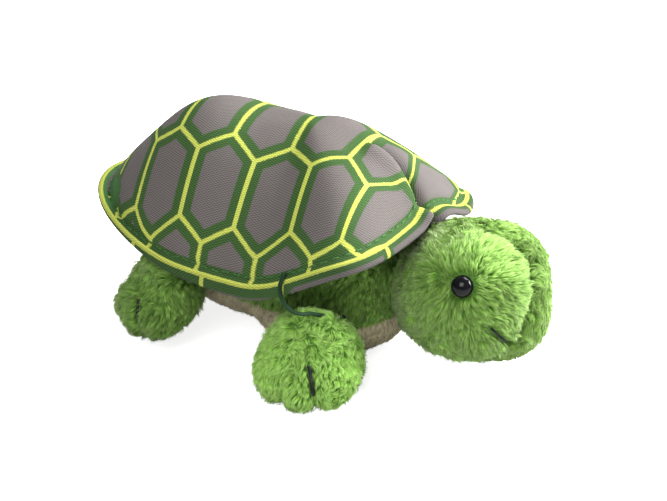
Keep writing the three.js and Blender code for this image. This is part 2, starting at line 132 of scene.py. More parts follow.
BORDER_IN = 0.1  # border line above the rim, along the cloth
BORDER_LIFT = (0, 1, 2.7)  # how much higher it runs at the sides, the lip and the tail
UNDER_LENGTH = 10  # cloth turned under at the hem
STITCH_DEPTH = 0.7
PALE_TAIL = 0.6  # how pale the leaf at the tail is

# Head
HEAD_MIDDLE = np.array([45.9, 0, 22.9])
HEAD_HALF = np.array([20, 18.25, 17.7])
HEAD_POWER = 2.25
EYE_PLACE = np.array([50.405, 15.768, 32.379])
EYE_NORMAL = np.array([0.146, 0.861, 0.488])
EYE_RADIUS = 3
EYE_DOME = 2.4
SHANK_RADIUS = 1
SHANK_LENGTH = 4.5
HEAD_INSET = 1
# Full places: crown, brow and muzzle
HEAD_BULGES = (((0.4, 0.4, 0.82), 1.3), ((0.7, 0.34, 0.5), 1.4), ((0.85, 0.22, -0.45), 1.6))
BULGE_SPREAD = 0.4
FACE_TOP = 37  # height where the seam of the face crosses the middle
FACE_LEAN = 0.43  # and how far it leans aside below that
CHIN_GROOVE = 1.2  # depth of its groove at the chin
BROW_GROOVE = 2.6  # and how much deeper it is at the brow
GROOVE_WIDTH = 2.2
SOCKET_DEPTH = 0.6
SOCKET_WIDTH = 4.2
CREASE_DEPTH = 1.2
CREASE_WIDTH = 1.6
MOUTH_THICKNESS = 0.7
MOUTH_CORNER = np.array([0.67, 0.73, -0.11])
MOUTH_FRONT = np.array([0.8, 0.34, -0.49])

# Paws: middle, half sizes, turn in plan and slope, how the filling broadens, thickens and moves them, and
# how light their pile is, with painted light on the front paws and painted shade on the rear ones
PAWS = {
    "front": dict(place=(15.15, 32.5, 8.27), half=(14.5, 13.5, 7), turn=78, slope=23,
                  broad=1.08, shoulder=5.5, shift=(-0.8, 0, 0.3), shade=0.86),
    "rear": dict(place=(-34.25, 27.88, 12.19), half=(12, 11.5, 7.5), turn=114, slope=28,
                 broad=1, shoulder=5, shift=(0.3, 0, 2), shade=0.26),
}
PAW_POWER = 2.3
TOE_ANGLE = math.radians(20)
TOE_SPREAD = math.radians(9)
TOE_NOTCH = 2.2
PAW_INSET = 1.4
NOTCH_DEPTH = 1.3
NOTCH_SPREAD = 0.12
SOLE_SEAM_DEPTH = 0.4
SOLE_SEAM_WIDTH = 0.08
CLAW_RISE = (8, 46)  # degrees up the foot where a claw stitch starts and ends
CLAW_LIFT = {"inner": 0.3, "outer": -1.1}
CLAW_THICKNESS = 0.9

# Elastic loop: out of the rim of the shell, over the front foot and into the fur at the side of the body
LOOP_THICKNESS = 1.1
LOOP_ROUTE = [
    (10.6, -38.6, 37.0), (10.6, -39.5, 37.5), (10.6, -40.3, 36.4), (10.3, -40.9, 34.9), (10.5, -41.3, 33.3),
    (11.0, -41.5, 31.7), (11.8, -41.4, 30.2), (13.0, -41.1, 28.9), (14.4, -40.5, 27.7), (15.6, -39.2, 27.0),
    (16.1, -36.0, 25.7), (16.4, -32.4, 23.8), (16.7, -28.6, 21.7), (16.9, -25.0, 19.7), (17.0, -21.4, 17.8),
    (17.0, -17.8, 16.2), (17.0, -14.5, 15.0),
]


def unit(vectors):
    return vectors / np.maximum(np.linalg.norm(vectors, axis=-1, keepdims=True), 1e-9)


def handed(vector, side):
    """The vector on the left side, or mirrored to the right."""
    return np.array(vector) * np.array([1, side, 1])


def bell(value, width):
    """1 at zero, falling away over about that width."""
    return np.exp(-(value / width) ** 2)


def smoothstep(value, low, high):
    share = np.clip((value - low) / (high - low), 0, 1)
    return share * share * (3 - 2 * share)


noise.seed_set(1)  # without it the noise differs from run to run


def drift(points, kind, seed):
    """A smooth random vector at each point. kind holds the millimetres it changes over and its strength."""
    size, strength = kind
    shift = Vector((seed * 7.31, seed * 3.17, seed * 1.93))
    return strength * np.array([noise.noise_vector(Vector(point) / size + shift) for point in points])


# Camera, light and floor


def add_camera():
    camera = bpy.data.objects.new("camera", bpy.data.cameras.new("camera"))
    bpy.context.scene.collection.objects.link(camera)
    level = math.cos(VIEW_RISE)
    away = Vector((math.sin(VIEW_TURN) * level, -math.cos(VIEW_TURN) * level, math.sin(VIEW_RISE)))
    camera.location = VIEW_AIM + away * VIEW_DISTANCE
    camera.rotation_euler = away.to_track_quat("Z", "Y").to_euler()
    camera.data.sensor_width = SENSOR_WIDTH
    camera.data.lens = LENS
    bpy.context.scene.camera = camera


def add_lamp(name, place, size, power):
    lamp = bpy.data.objects.new(name, bpy.data.lights.new(name, "AREA"))
    bpy.context.scene.collection.objects.link(lamp)
    lamp.location = place
    lamp.rotation_euler = (Vector(place) - LAMP_AIM).to_track_quat("Z", "Y").to_euler()
    lamp.data.size = size
    lamp.data.energy = power


# Materials


class Value:
    """A number that changes over a surface, used in sums like any other number."""

    def __init__(self, finish, socket):
        self.finish = finish
        self.socket = socket

    def math(self, operation, *others):
        return self.finish.node("ShaderNodeMath", {"operation": operation}, dict(enumerate((self, *others))))

    def __add__(self, other):
        return self.math("ADD", other)

    def __sub__(self, other):
        return self.math("SUBTRACT", other)

    def __mul__(self, other):
        return self.math("MULTIPLY", other)

    def __truediv__(self, other):
        return self.math("DIVIDE", other)

    def __rsub__(self, other):
        return self * -1 + other

    __radd__ = __add__
    __rmul__ = __mul__

    def __abs__(self):
        return self.math("ABSOLUTE")

    def floor(self):
        return self.math("FLOOR")

    def part(self):
        return self.math("FRACT")

    def least(self, other):
        return self.math("MINIMUM", other)

    def most(self, other):
        return self.math("MAXIMUM", other)

    def below(self, edge, soft):
        """1 below the edge and 0 above it, over a soft width."""
        span = {"From Min": edge - soft / 2, "From Max": edge + soft / 2, "To Min": 1, "To Max": 0}
        return self.finish.node(
            "ShaderNodeMapRange", {"interpolation_type": "SMOOTHSTEP"}, {"Value": self, **span})


class Finish:
    """One material: a Principled shader and the nodes that feed it."""

    def __init__(self, name, **sockets):
        self.material = bpy.data.materials.new(name)
        self.material.use_nodes = True
        self.tree = self.material.node_tree
        self.shader = self.tree.nodes["Principled BSDF"]
        for socket, value in sockets.items():
            self.set(socket.replace("_", " "), value)

    def plug(self, socket, value):
        if isinstance(value, Value):
            self.tree.links.new(value.socket, socket)
        else:
            socket.default_value = value

    def set(self, socket, value):
        self.plug(self.shader.inputs[socket], value)

    def node(self, kind, settings, inputs, output=0):
        node = self.tree.nodes.new(kind)
        for name, value in settings.items():
            if name == "stops":
                ramp = node.color_ramp.elements
                while len(ramp) < len(value):
                    ramp.new(1)
                for stop, (place, colour) in zip(ramp, value):
                    stop.position = place
                    stop.color = colour
            else:
                setattr(node, name, value)
        for name, value in inputs.items():
            self.plug(node.inputs[name], value)
        return Value(self, node.outputs[output])

    def mix(self, share, low, high):
        return self.node("ShaderNodeMix", {"data_type": "RGBA"}, {0: share, 6: low, 7: high}, 2)

    def tint(self, colour, strength):
        """The colour made lighter or darker."""
        return self.node("ShaderNodeVectorMath", {"operation": "SCALE"}, {0: colour, "Scale": strength})

    def grain(self, scale, detail=2, place=None):
        where = place or self.node("ShaderNodeTexCoord", {}, {}, "Object")
        return self.node("ShaderNodeTexNoise", {}, {"Vector": where, "Scale": scale, "Detail": detail})

    def map(self, name):
        """The two coordinates of a UV map."""
        both = self.node("ShaderNodeUVMap", {"uv_map": name}, {})
        return [self.node("ShaderNodeSeparateXYZ", {}, {"Vector": both}, axis) for axis in (0, 1)]

    def bump(self, height, distance, strength=1):
        self.set("Normal", self.node(
            "ShaderNodeBump", {}, {"Height": height, "Distance": distance, "Strength": strength}))


def rgb(red, green, blue):
    return (red, green, blue, 1)


def grey(level):
    return rgb(level, level, level)


def pile_finish(name, root, middle, tip, glow, dark, light):
    """Plush fibres: the map's first coordinate is a fibre's tone and painted light, the second runs from root
    to tip.
    """
    finish = Finish(name, Roughness=0.75, Specular_IOR_Level=0.1, Sheen_Weight=0.42, Sheen_Roughness=0.35,
                    Sheen_Tint=glow)
    shade, along = finish.map("OFBake")
    # painted shade darkens the roots and painted light lightens the tips
    stops = [(0, root), (0.55, middle), (1, tip)]
    colour = finish.node("ShaderNodeValToRGB", {"stops": stops}, {"Fac": along})
    finish.set("Base Color", finish.tint(colour, shade * (light - dark) + dark))
    return finish.material


def backing_finish(name, low, high):
    """Knitted backing under the pile."""
    finish = Finish(name, Roughness=0.9)
    fine = finish.grain(1800, 3)
    finish.set("Base Color", finish.mix(fine, low, high))
    finish.bump(fine, 0.0003)
    return finish.material


# Fibre colours at root, middle and tip: the darker root is painted shade and the lighter tip painted light
GREEN_ROOT = rgb(0.043, 0.115, 0.013)
GREEN_MIDDLE = rgb(0.14, 0.285, 0.043)
GREEN_TIP = rgb(0.285, 0.45, 0.125)
GREEN_GLOW = rgb(0.55, 0.66, 0.36)
TAN_ROOT = rgb(0.22, 0.18, 0.09)
TAN_MIDDLE = rgb(0.48, 0.42, 0.26)
TAN_TIP = rgb(0.66, 0.6, 0.43)

green_pile = pile_finish("green_pile", GREEN_ROOT, GREEN_MIDDLE, GREEN_TIP, GREEN_GLOW, 0.5, 1.7)
green_backing = backing_finish("green_backing", rgb(0.05, 0.13, 0.015), rgb(0.11, 0.25, 0.035))
tan_pile = pile_finish("tan_pile", TAN_ROOT, TAN_MIDDLE, TAN_TIP, TAN_TIP, 0.7, 1.2)
tan_backing = backing_finish("tan_backing", rgb(0.26, 0.22, 0.12), rgb(0.42, 0.36, 0.22))


# Pattern of the shell's cloth, laid flat
CLOTH_SPAN = 170
THREAD_PITCH = 0.34
HEX_PITCH = 17.3
HEX_ROW = 25.7
HEX_TOP = 16.1
HEX_SLOPE = 0.74
HEX_PHASE = 8.8
HEX_OFFSET = -2.3
LINE_LEAN = 0.001  # how far the lines between cells lean forward down the sides
DART_START = 26  # where the dart starts to take cloth out of the pattern
DART_TAKE = 0.95
TAIL_START = -36  # and where the tail does
TAIL_TAKE = 0.88
LINE_HALF = 0.65
BAND_WIDTH = 2.4
RAGGED = 0.4  # how uneven the edges of the colours are
HEM_BAND = 0.3  # how much wider the green is on the hem
HEM_FRONT = 52  # how far round from the front the green is narrower
HEM_FRONT_LESS = 1.3
# painted shade on the hem, the shaded underside of the rolled lip
HEM_PAINTED_SHADE = 0.25
# Lines across the hem, along the rim from the front
SPOKES = (24.3, 54.7, 78.9, 104, 129)
STITCH_IN = 2.4
STITCH_STEP = 3.4
STITCH_LENGTH = 2.3
STITCH_THICKNESS = 0.5
GREY_DARK = rgb(0.066, 0.058, 0.055)
GREY_LIGHT = rgb(0.132, 0.117, 0.111)
LEAF_DARK = rgb(0.0145, 0.042, 0.0085)
LEAF_LIGHT = rgb(0.041, 0.099, 0.021)
LEAF_PALE = rgb(0.045, 0.15, 0.04)
LIME_DARK = rgb(0.29, 0.325, 0.04)
LIME_LIGHT = rgb(0.49, 0.54, 0.105)


def shell_finish():
    """Woven cloth: long hexagons with grey cores, green bands and yellow lines, cut by a yellow border."""
    finish = Finish("shell_weave", Roughness=0.82, Specular_IOR_Level=0.2)
    across_map, along_map = finish.map("OFBake")
    u = (across_map - 0.5) * CLOTH_SPAN
    v = (along_map - 0.5) * CLOTH_SPAN
    rim = finish.node("ShaderNodeAttribute", {"attribute_name": "rim"}, {}, "Vector")
    round_rim = finish.node("ShaderNodeSeparateXYZ", {}, {"Vector": rim}, 0)
    inside = finish.node("ShaderNodeSeparateXYZ", {}, {"Vector": rim}, 1)
    # third value: paler in the leaf at the tail, and below zero where painted shade darkens the fold of the
    # dart
    light = finish.node("ShaderNodeSeparateXYZ", {}, {"Vector": rim}, 2)

    # Threads: the pattern steps from one thread to the next
    warp = u / THREAD_PITCH
    weft = v / THREAD_PITCH
    warp_no = warp.floor()
    weft_no = weft.floor()
    stepped_u = (warp_no + 0.5) * THREAD_PITCH
    stepped_v = (weft_no + 0.5) * THREAD_PITCH

    def cell_edge(shift_u, shift_v):
        """Distance inside the edge of the nearest hexagon of one set of rows."""
        side = abs(((stepped_u - shift_u) / HEX_PITCH + 0.5).part() - 0.5) * HEX_PITCH
        end = abs(((stepped_v - shift_v) / (2 * HEX_ROW) + 0.5).part() - 0.5) * (2 * HEX_ROW)
        to_side = HEX_PITCH / 2 - side
        to_end = (HEX_TOP - end - side * HEX_SLOPE) / math.hypot(1, HEX_SLOPE)
        return to_side.least(to_end)

    edge = cell_edge(HEX_PHASE, HEX_OFFSET).most(cell_edge(HEX_PHASE + HEX_PITCH / 2, HEX_OFFSET + HEX_ROW))
    ragged = (finish.grain(2600, 1) - 0.5) * RAGGED
    from_border = inside - BORDER_IN
    spoke = abs(round_rim - SPOKES[0])
    for place in SPOKES[1:]:
        spoke = spoke.least(abs(round_rim - place))
    on_hem = from_border.below(0, 0.02)
    within = edge.least(abs(from_border))
    beyond = spoke.least(abs(from_border))
    leafy = light.below(0.1, 0.1)
    within = within * leafy + abs(from_border) * (1 - leafy)
    distance = within * (1 - on_hem) + beyond * on_hem + ragged
    yellow = distance.below(LINE_HALF, 0.25)
    hem_band = HEM_BAND - round_rim.below(HEM_FRONT, 3) * HEM_FRONT_LESS
    green = (distance - on_hem * hem_band).below(LINE_HALF + BAND_WIDTH, 0.3).most(1 - leafy)

    # A twill of two threads over and two under
    turn = ((warp_no + weft_no * 2) / 4 + 0.01).part()
    over = turn.below(0.49, 0.02)
    warp_round = abs(warp.part() - 0.5) * 2
    weft_round = abs(weft.part() - 0.5) * 2
    hollow = warp_round * over + weft_round * (1 - over)
    thread = 1 - hollow * hollow
    core = finish.mix(over, GREY_DARK, GREY_LIGHT)
    leaf = finish.mix(light.most(0), finish.mix(over, LEAF_DARK, LEAF_LIGHT), LEAF_PALE)
    lime = finish.mix(over, LIME_DARK, LIME_LIGHT)
    colour = finish.mix(yellow, finish.mix(green, core, leaf), lime)
    patches = finish.grain(60, 3)
    # painted shade between the threads, in the fold of the dart and on the hem; the patches are the cloth's
    # uneven tone
    shade = (thread * 0.25 + 0.8) * (patches * 0.3 + 0.85) * (light.least(0) + 1) * (1 - on_hem * HEM_PAINTED_SHADE)
    finish.set("Base Color", finish.tint(colour, shade))
    finish.bump(thread, 0.0001, 0.8)
    return finish.material


def cloth_finish(name, low, high, pitch):
    """Plain woven cloth, with its threads along the axes of the toy."""
    finish = Finish(name, Roughness=0.88)
    place = finish.node("ShaderNodeTexCoord", {}, {}, "Object")
    lines = [
        finish.node("ShaderNodeTexWave", {"bands_direction": axis}, {
            "Vector": place, "Scale": math.pi * 2 / (20 * pitch * MM), "Distortion": 0.6, "Detail": 1})
        for axis in ("X", "Y", "Z")]
    weave = (lines[0] + lines[1] + lines[2]) / 3
    finish.set("Base Color", finish.mix(weave * 0.6 + finish.grain(500, 2) * 0.4, low, high))
    finish.bump(weave, 0.00015)
    return finish.material


lining = cloth_finish("lining_cloth", rgb(0.03, 0.06, 0.035), rgb(0.09, 0.13, 0.085), 0.7)
sleeve = cloth_finish("sleeve_cloth", rgb(0.06, 0.08, 0.06), rgb(0.14, 0.16, 0.13), 0.7)


def thread_finish(name, low, high):
    """Twisted thread or braid: the map's second coordinate runs along it."""
    finish = Finish(name, Roughness=0.7, Specular_IOR_Level=0.1)
    round_it, along = finish.map("UVMap")
    twist = abs((round_it * 2 + along).part() - 0.5) * 2
    finish.set("Base Color", finish.mix(twist * 0.7 + finish.grain(3000, 1) * 0.3, low, high))
    finish.bump(twist, 0.0001)
    return finish.material


black_thread = thread_finish("black_thread", rgb(0.004, 0.004, 0.004), rgb(0.03, 0.03, 0.028))
loop_elastic = thread_finish("loop_elastic", rgb(0.004, 0.014, 0.006), rgb(0.014, 0.04, 0.016))
stitch_thread = thread_finish("stitch_thread", rgb(0.02, 0.06, 0.018), rgb(0.06, 0.15, 0.05))


def eye_finish():
    finish = Finish("eye_plastic", Base_Color=rgb(0.004, 0.004, 0.005), Coat_Weight=0.04, Coat_Roughness=0.03,
                    Specular_IOR_Level=0.12)
    finish.set("Roughness", finish.grain(900, 3) * 0.08 + 0.04)
    return finish.material


eye_plastic = eye_finish()


def washer_finish():
    finish = Finish("washer_plastic", Base_Color=rgb(0.72, 0.72, 0.68))
    finish.set("Roughness", finish.grain(700, 2) * 0.2 + 0.4)
    return finish.material


# Making and dressing pieces


def piece(name, mesh, material, body, slot, *nodes):
    found = bpy.data.objects.new(name, mesh)
    bpy.context.scene.collection.objects.link(found)
    found.data.materials.append(material)
    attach(found, body)
    if nodes:
        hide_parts(*nodes)
    return found


def mesh_of(bm, name, smooth=True):
    mesh = bpy.data.meshes.new(name)
    bm.to_mesh(mesh)
    bm.free()
    mesh.polygons.foreach_set("use_smooth", [smooth] * len(mesh.polygons))
    return mesh


def places_of(mesh):
    """Vertex places in millimetres."""
    flat = np.empty(len(mesh.vertices) * 3)
    mesh.vertices.foreach_get("co", flat)
    return flat.reshape(-1, 3) / MM


def put_places(mesh, places):
    mesh.vertices.foreach_set("co", (places * MM).ravel())
    mesh.update()


def normals_of(mesh):
    flat = np.empty(len(mesh.vertices) * 3)
    mesh.vertices.foreach_get("normal", flat)
    return flat.reshape(-1, 3)


def add_map(mesh, name, per_vertex):
    """A UV map from two numbers at each vertex."""
    corners = np.empty(len(mesh.loops), dtype=int)
    mesh.loops.foreach_get("vertex_index", corners)
    layer = mesh.uv_layers.new(name=name)
    layer.uv.foreach_set("vector", per_vertex[corners].astype(np.float32).ravel())


def ball_mesh(name, fineness):
    """A round mesh of even triangles, one unit in radius and still in units."""
    bm = bmesh.new()
    bmesh.ops.create_icosphere(bm, subdivisions=fineness, radius=MM)
    return mesh_of(bm, name)


def reach(directions, half, power):
    return (np.abs(directions / half) ** power).sum(-1) ** (-1 / np.ravel(power))


CLOTH_SCALE = 20  # Cloth is steadier on a larger copy
CLOTH_FRAMES = 20


def swell(mesh, held, cap, pressure):
    """Fills a sewn skin: Cloth blows it up, held where it is sewn, and no place moves past the cap."""
    start = places_of(mesh)
    trial = bpy.data.objects.new("trial", mesh.copy())
    bpy.context.scene.collection.objects.link(trial)
    put_places(trial.data, start * CLOTH_SCALE)
    group = trial.vertex_groups.new(name="held")
    for index in np.flatnonzero(held > 0.01):
        group.add([int(index)], float(min(held[index], 1)), "REPLACE")
    cloth = trial.modifiers.new("cloth", "CLOTH")
    cloth.settings.vertex_group_mass = "held"
    cloth.settings.use_pressure = True
    cloth.settings.uniform_pressure_force = pressure
    cloth.settings.effector_weights.gravity = 0
    cloth.point_cache.frame_end = CLOTH_FRAMES
    scene = bpy.context.scene
    for step in range(1, CLOTH_FRAMES + 1):
        scene.frame_set(step)
    filled = trial.evaluated_get(bpy.context.evaluated_depsgraph_get())
    move = places_of(filled.data) / CLOTH_SCALE - start
    far = np.linalg.norm(move, axis=1, keepdims=True)
    put_places(mesh, start + move * np.minimum(1, cap / np.maximum(far, 1e-6)))
    bpy.data.objects.remove(trial)
    scene.frame_set(1)


def press_flat(mesh):
    places = places_of(mesh)
    places[:, 2] = np.maximum(places[:, 2], SKIN_FLOOR)
    put_places(mesh, places)


def close_up(bm):
    bmesh.ops.remove_doubles(bm, verts=bm.verts, dist=1e-6)
    bmesh.ops.recalc_face_normals(bm, faces=bm.faces)


def turned(points, axis, steps):
    """A shape turned round an axis from a line of points."""
    bm = bmesh.new()
    knots = [bm.verts.new([value * MM for value in point]) for point in points]
    edges = [bm.edges.new(pair) for pair in zip(knots, knots[1:])]
    bmesh.ops.spin(
        bm, geom=knots + edges, axis=axis, cent=(0, 0, 0), angle=2 * math.pi, steps=steps, use_merge=True)
    close_up(bm)
    return bm


def add_wall(cloth, thickness, offset):
    wall = cloth.modifiers.new("wall", "SOLIDIFY")
    wall.thickness = thickness * MM
    wall.offset = offset


# Pile


# How the pile wanders: over how many millimetres, and how much
LEAN_DRIFT = (6, 1.1)
CURL_DRIFT = (1.6, 0.8)
LENGTH_DRIFT = (8, 0.2)
TONE_DRIFT = (11, 0.2)
# How fibres differ from each other
LENGTH_SPREAD = (0.75, 1.1)
RISE_SPREAD = (0.7, 1.15)
WIDTH_SPREAD = (0.75, 1.25)
FIBRE_TONE = 0.08
STRAY_SHARE = 0.08  # fibres that stand out of the pile
STRAY_RISE = 0.6  # and how much higher they stand
FIBRE_WIDTH = 0.25
ROOT_DEPTH = 0.4
TIP_FLOOR = 0.25  # no fibre goes lower
# Locks of fibres that gather at the tip
LOCK_FIBRES = 9
LOCK_GATHER = (0.3, 0.8)
LOCK_TONE = 0.11
SOFTNESS = 1
ROUNDNESS = 0.4
CLEAR_GAP = 0.95
# Fibres to a square millimetre, their length and height, and how light they are, the neck darker as painted
# shade
HEAD_PILE = dict(density=15, length=3.5, height=1.6)
BACK_PILE = dict(density=11, length=3, height=1.8, shade=0.36)
BELLY_PILE = dict(density=11, length=2.6, height=1, shade=0.35)
NECK_PILE = dict(density=10, length=3, height=1.6, shade=0.15)
PAW_PILE = dict(density=15, length=2.9, height=1.7)


def scatter(mesh, density, random):
    """Random places on a mesh, so many to a square millimetre, and the normals there."""
    mesh.calc_loop_triangles()
    corners = np.empty(len(mesh.loop_triangles) * 3, dtype=int)
    mesh.loop_triangles.foreach_get("vertices", corners)
    corners = corners.reshape(-1, 3)
    places, normals = places_of(mesh), normals_of(mesh)
    a, b, c = (places[corners[:, i]] for i in range(3))
    areas = np.linalg.norm(np.cross(b - a, c - a), axis=1) / 2
    count = int(areas.sum() * density)
    chosen = corners[random.choice(len(areas), count, p=areas / areas.sum())]
    share = random.random((count, 2))
    share = np.where(share.sum(1, keepdims=True) > 1, 1 - share, share)
    weights = np.column_stack([1 - share.sum(1), share])[:, :, None]
    return (places[chosen] * weights).sum(1), unit((normals[chosen] * weights).sum(1))


def fibre_mesh(name, root, middle, tip, normal, lean, lobe, tone_and_painted_light, random):
    """Closed fibres with three sides, thickest in the middle."""
    along = unit(tip - root)
    side = unit(np.cross(along, normal + 1e-3))
    up = np.cross(side, along)
    thick = FIBRE_WIDTH * random.uniform(*WIDTH_SPREAD, (len(root), 1)) / 2
    turns = (math.pi / 2, math.pi * 7 / 6, math.pi * 11 / 6)
    out = [side * math.cos(turn) + up * math.sin(turn) for turn in turns]
    points = np.stack([root, *(middle + way * thick for way in out), tip], 1).reshape(-1, 3)
    fibre = np.array([(0, 1, 2), (0, 2, 3), (0, 3, 1), (4, 2, 1), (4, 3, 2), (4, 1, 3)])
    faces = (np.arange(len(root))[:, None, None] * 5 + fibre).reshape(-1, 3)
    pile = bpy.data.meshes.new(name)
    pile.from_pydata(points * MM, [], faces)
    pile.polygons.foreach_set("use_smooth", [True] * len(pile.polygons))
    # Soft light: fibres are shaded partly as the skin below them and partly as a round lock
    lock = normal * SOFTNESS + lobe * ROUNDNESS
    soft = [unit(lock), *(unit(lock + way * 0.6) for way in out), unit(lock + lean * 0.5)]
    pile.normals_split_custom_set_from_vertices(np.stack(soft, 1).reshape(-1, 3))
    across = tone_and_painted_light[:, None] + np.array([0, 0, 0.01, 0.02, 0.01])
    lengthwise = np.tile([0.02, 0.55, 0.55, 0.55, 0.98], (len(root), 1))
    add_map(pile, "OFBake", np.stack([across, lengthwise], 2).reshape(-1, 2))
    return pile


def lay_pile(name, skin, material, body, slot, comb, density, length, height, shade, seed,
             keep=None, clear=None, trim=None):
    """Plush pile on a skin: bent fibres that lean along comb() and gather in locks, off the clear places."""
    random = np.random.default_rng(seed)
    density = density * 1
    root, normal = scatter(skin.data, density, random)
    if keep is not None:
        kept = keep(root)
        root, normal = root[kept], normal[kept]
    count = len(root)
    lean = comb(root) + drift(root, LEAN_DRIFT, seed) + drift(root, CURL_DRIFT, seed + 5)
    lean = unit(lean - (lean * normal).sum(1, keepdims=True) * normal)
    cut = 1 if trim is None else trim(root)[:, None]
    size = cut * length * random.uniform(*LENGTH_SPREAD, (count, 1))
    size = size * (1 + drift(root, LENGTH_DRIFT, seed + 9)[:, :1])
    stray = 1 + STRAY_RISE * (random.random((count, 1)) < STRAY_SHARE)
    rise = cut * height * stray * random.uniform(*RISE_SPREAD, (count, 1))
    middle = root + normal * rise * 0.8 + lean * size * 0.45
    tip = root + normal * rise + lean * size

    # Each fibre leans towards the tip of the lock that it belongs to
    locks = random.choice(count, max(8, count // LOCK_FIBRES), replace=False)
    tree = kdtree.KDTree(len(locks))
    for i, lock in enumerate(locks):
        tree.insert(root[lock] + lean[lock] * 0.6, i)
    tree.balance()
    own = locks[np.array([tree.find(place)[1] for place in root])]
    lobe = (root - root[own]) / math.sqrt(LOCK_FIBRES / density / math.pi)
    gather = random.uniform(*LOCK_GATHER, (count, 1))
    tip = tip + (tip[own] - tip) * gather
    middle = middle + (middle[own] - middle) * gather * 0.4
    tone_and_painted_light = shade(root) if callable(shade) else shade
    tone_and_painted_light = tone_and_painted_light + random.normal(0, FIBRE_TONE, count)
    tone_and_painted_light = tone_and_painted_light + random.normal(0, LOCK_TONE, count)[own]
    # painted shade: fibres at the edge of a lock are darker and those in its middle lighter
    tone_and_painted_light = tone_and_painted_light + 0.1 - 0.16 * np.minimum(np.linalg.norm(lobe, axis=1), 1.5)
    tone_and_painted_light = np.clip(tone_and_painted_light + drift(root, TONE_DRIFT, seed + 3)[:, 0], 0.03, 0.95)
    root = root - normal * ROOT_DEPTH
    fibres = (root, middle, tip, normal, lean, lobe, tone_and_painted_light)
    if clear is not None:
        gap = np.minimum.reduce([
            np.linalg.norm(points[:, None] - clear[None], axis=2).min(1) for points in (root, middle, tip)])
        fibres = [values[gap > CLEAR_GAP] for values in fibres]
    for points in fibres[1:3]:
        points[:, 2] = np.maximum(points[:, 2], TIP_FLOOR)
    piece(name, fibre_mesh(name, *fibres, random), material, body, slot)


# Shell


def plan_radius(angle):
    along, across = np.cos(angle), np.abs(np.sin(angle))
    ahead = along > 0
    half = np.where(ahead, SHELL_FRONT, SHELL_REAR)
    power = np.where(ahead, LIP_POWER, TAIL_POWER)
    return ((np.abs(along) / half) ** power + (across / SHELL_SIDE) ** power) ** (-1 / power)


def rim_height(angle):
    ahead = plan_radius(angle) * np.cos(angle)
    lip = (RIM_DROP + LIP_RISE) * smoothstep(ahead, 0, SHELL_FRONT)
    return SHELL_SEAT - RIM_DROP + lip + TAIL_RISE * smoothstep(-ahead, SHELL_REAR / 3, SHELL_REAR)


def towards_end(angle, side, lip, tail):
    """A value that is one thing at the sides and others at the two ends."""
    along = np.cos(angle)
    return side + (np.where(along > 0, lip, tail) - side) * along ** 2


def dome_height(radius, angle):
    share = np.clip(radius / plan_radius(angle), 0, 1)
    rim = rim_height(angle)
    ahead = radius * np.cos(angle)
    lift = np.where(ahead > 0, LIP_LIFT, TAIL_LIFT) * (np.hypot(ahead, CROWN_SPAN) - CROWN_SPAN)
    crown = SHELL_SEAT + CROWN_HEIGHT + lift
    return rim + (crown - rim) * (1 - share ** towards_end(angle, SIDE_BULGE, LIP_BULGE, TAIL_BULGE))


def dome_at(x, y):
    return dome_height(np.hypot(x, y), np.arctan2(y, x))


def flat_place(x, y):
    """Where a place on the dome lies in the flat cloth: along the ridge, and across it over the dome."""
    steps = np.linspace(0, 1, 49)
    ridge = np.linspace(-SHELL_REAR, SHELL_FRONT, 401)
    lengths = np.hypot(np.diff(ridge), np.diff(dome_at(ridge, 0 * ridge)))
    ridge_length = np.concatenate([[0], np.cumsum(lengths)])
    ridge_length -= np.interp(0, ridge, ridge_length)
    across = y[:, None] * steps
    heights = dome_at(x[:, None] + 0 * across, across)
    spans = np.hypot(np.diff(across, axis=1), np.diff(heights, axis=1)).sum(1)
    return np.interp(x, ridge, ridge_length), np.sign(y) * spans


def cover_places(angle, along):
    """Places on the cover: along runs to 1 over the dome, to 2 down the hem and to 3 round it and under."""
    plan = plan_radius(angle)
    radius = plan * np.clip(along, 0, 1)
    height = dome_height(radius, angle)
    down = np.clip(along - 1, 0, 1) * math.pi / 2
    flare = towards_end(angle, SIDE_FLARE, LIP_FLARE, TAIL_FLARE)
    drop = towards_end(angle, SIDE_DROP, LIP_DROP, TAIL_DROP)
    roll = np.clip((along - 2) / 0.4, 0, 1) * math.pi / 2
    under = np.clip((along - 2.4) / 0.6, 0, 1)
    radius = radius + flare * np.sin(down) - HEM_ROLL * (1 - np.cos(roll))
    radius = radius - (HEM_WIDTH + flare - HEM_ROLL) * under
    height = height - (drop - HEM_ROLL) * (1 - np.cos(down)) - HEM_ROLL * np.sin(roll)
    return np.column_stack([radius * np.cos(angle), radius * np.sin(angle), height])


def rim_lengths(angle, along):
    """How far inside the border a place on the cover is, along the cloth, and how far past the rim."""
    plan = plan_radius(angle)
    at_rim = plan * np.clip(along, 0, 1)
    onward = at_rim[:, None] + (plan - at_rim)[:, None] * np.linspace(0, 1, 60)
    heights = dome_height(onward, angle[:, None] + 0 * onward)
    to_rim = np.hypot(np.diff(onward, axis=1), np.diff(heights, axis=1)).sum(1)
    flare = towards_end(angle, SIDE_FLARE, LIP_FLARE, TAIL_FLARE)
    drop = towards_end(angle, SIDE_DROP, LIP_DROP, TAIL_DROP)
    down = np.clip(along - 1, 0, 1) * math.pi / 2
    hem = np.hypot(flare * np.sin(down), (drop - HEM_ROLL) * (1 - np.cos(down)))
    past = hem + UNDER_LENGTH * np.clip(along - 2, 0, 1)
    return to_rim - past + towards_end(angle, *BORDER_LIFT), past


def droop(x, y):
    return CORNER_DROOP * smoothstep(y, *CORNER_ACROSS) * smoothstep(x, *CORNER_ALONG)


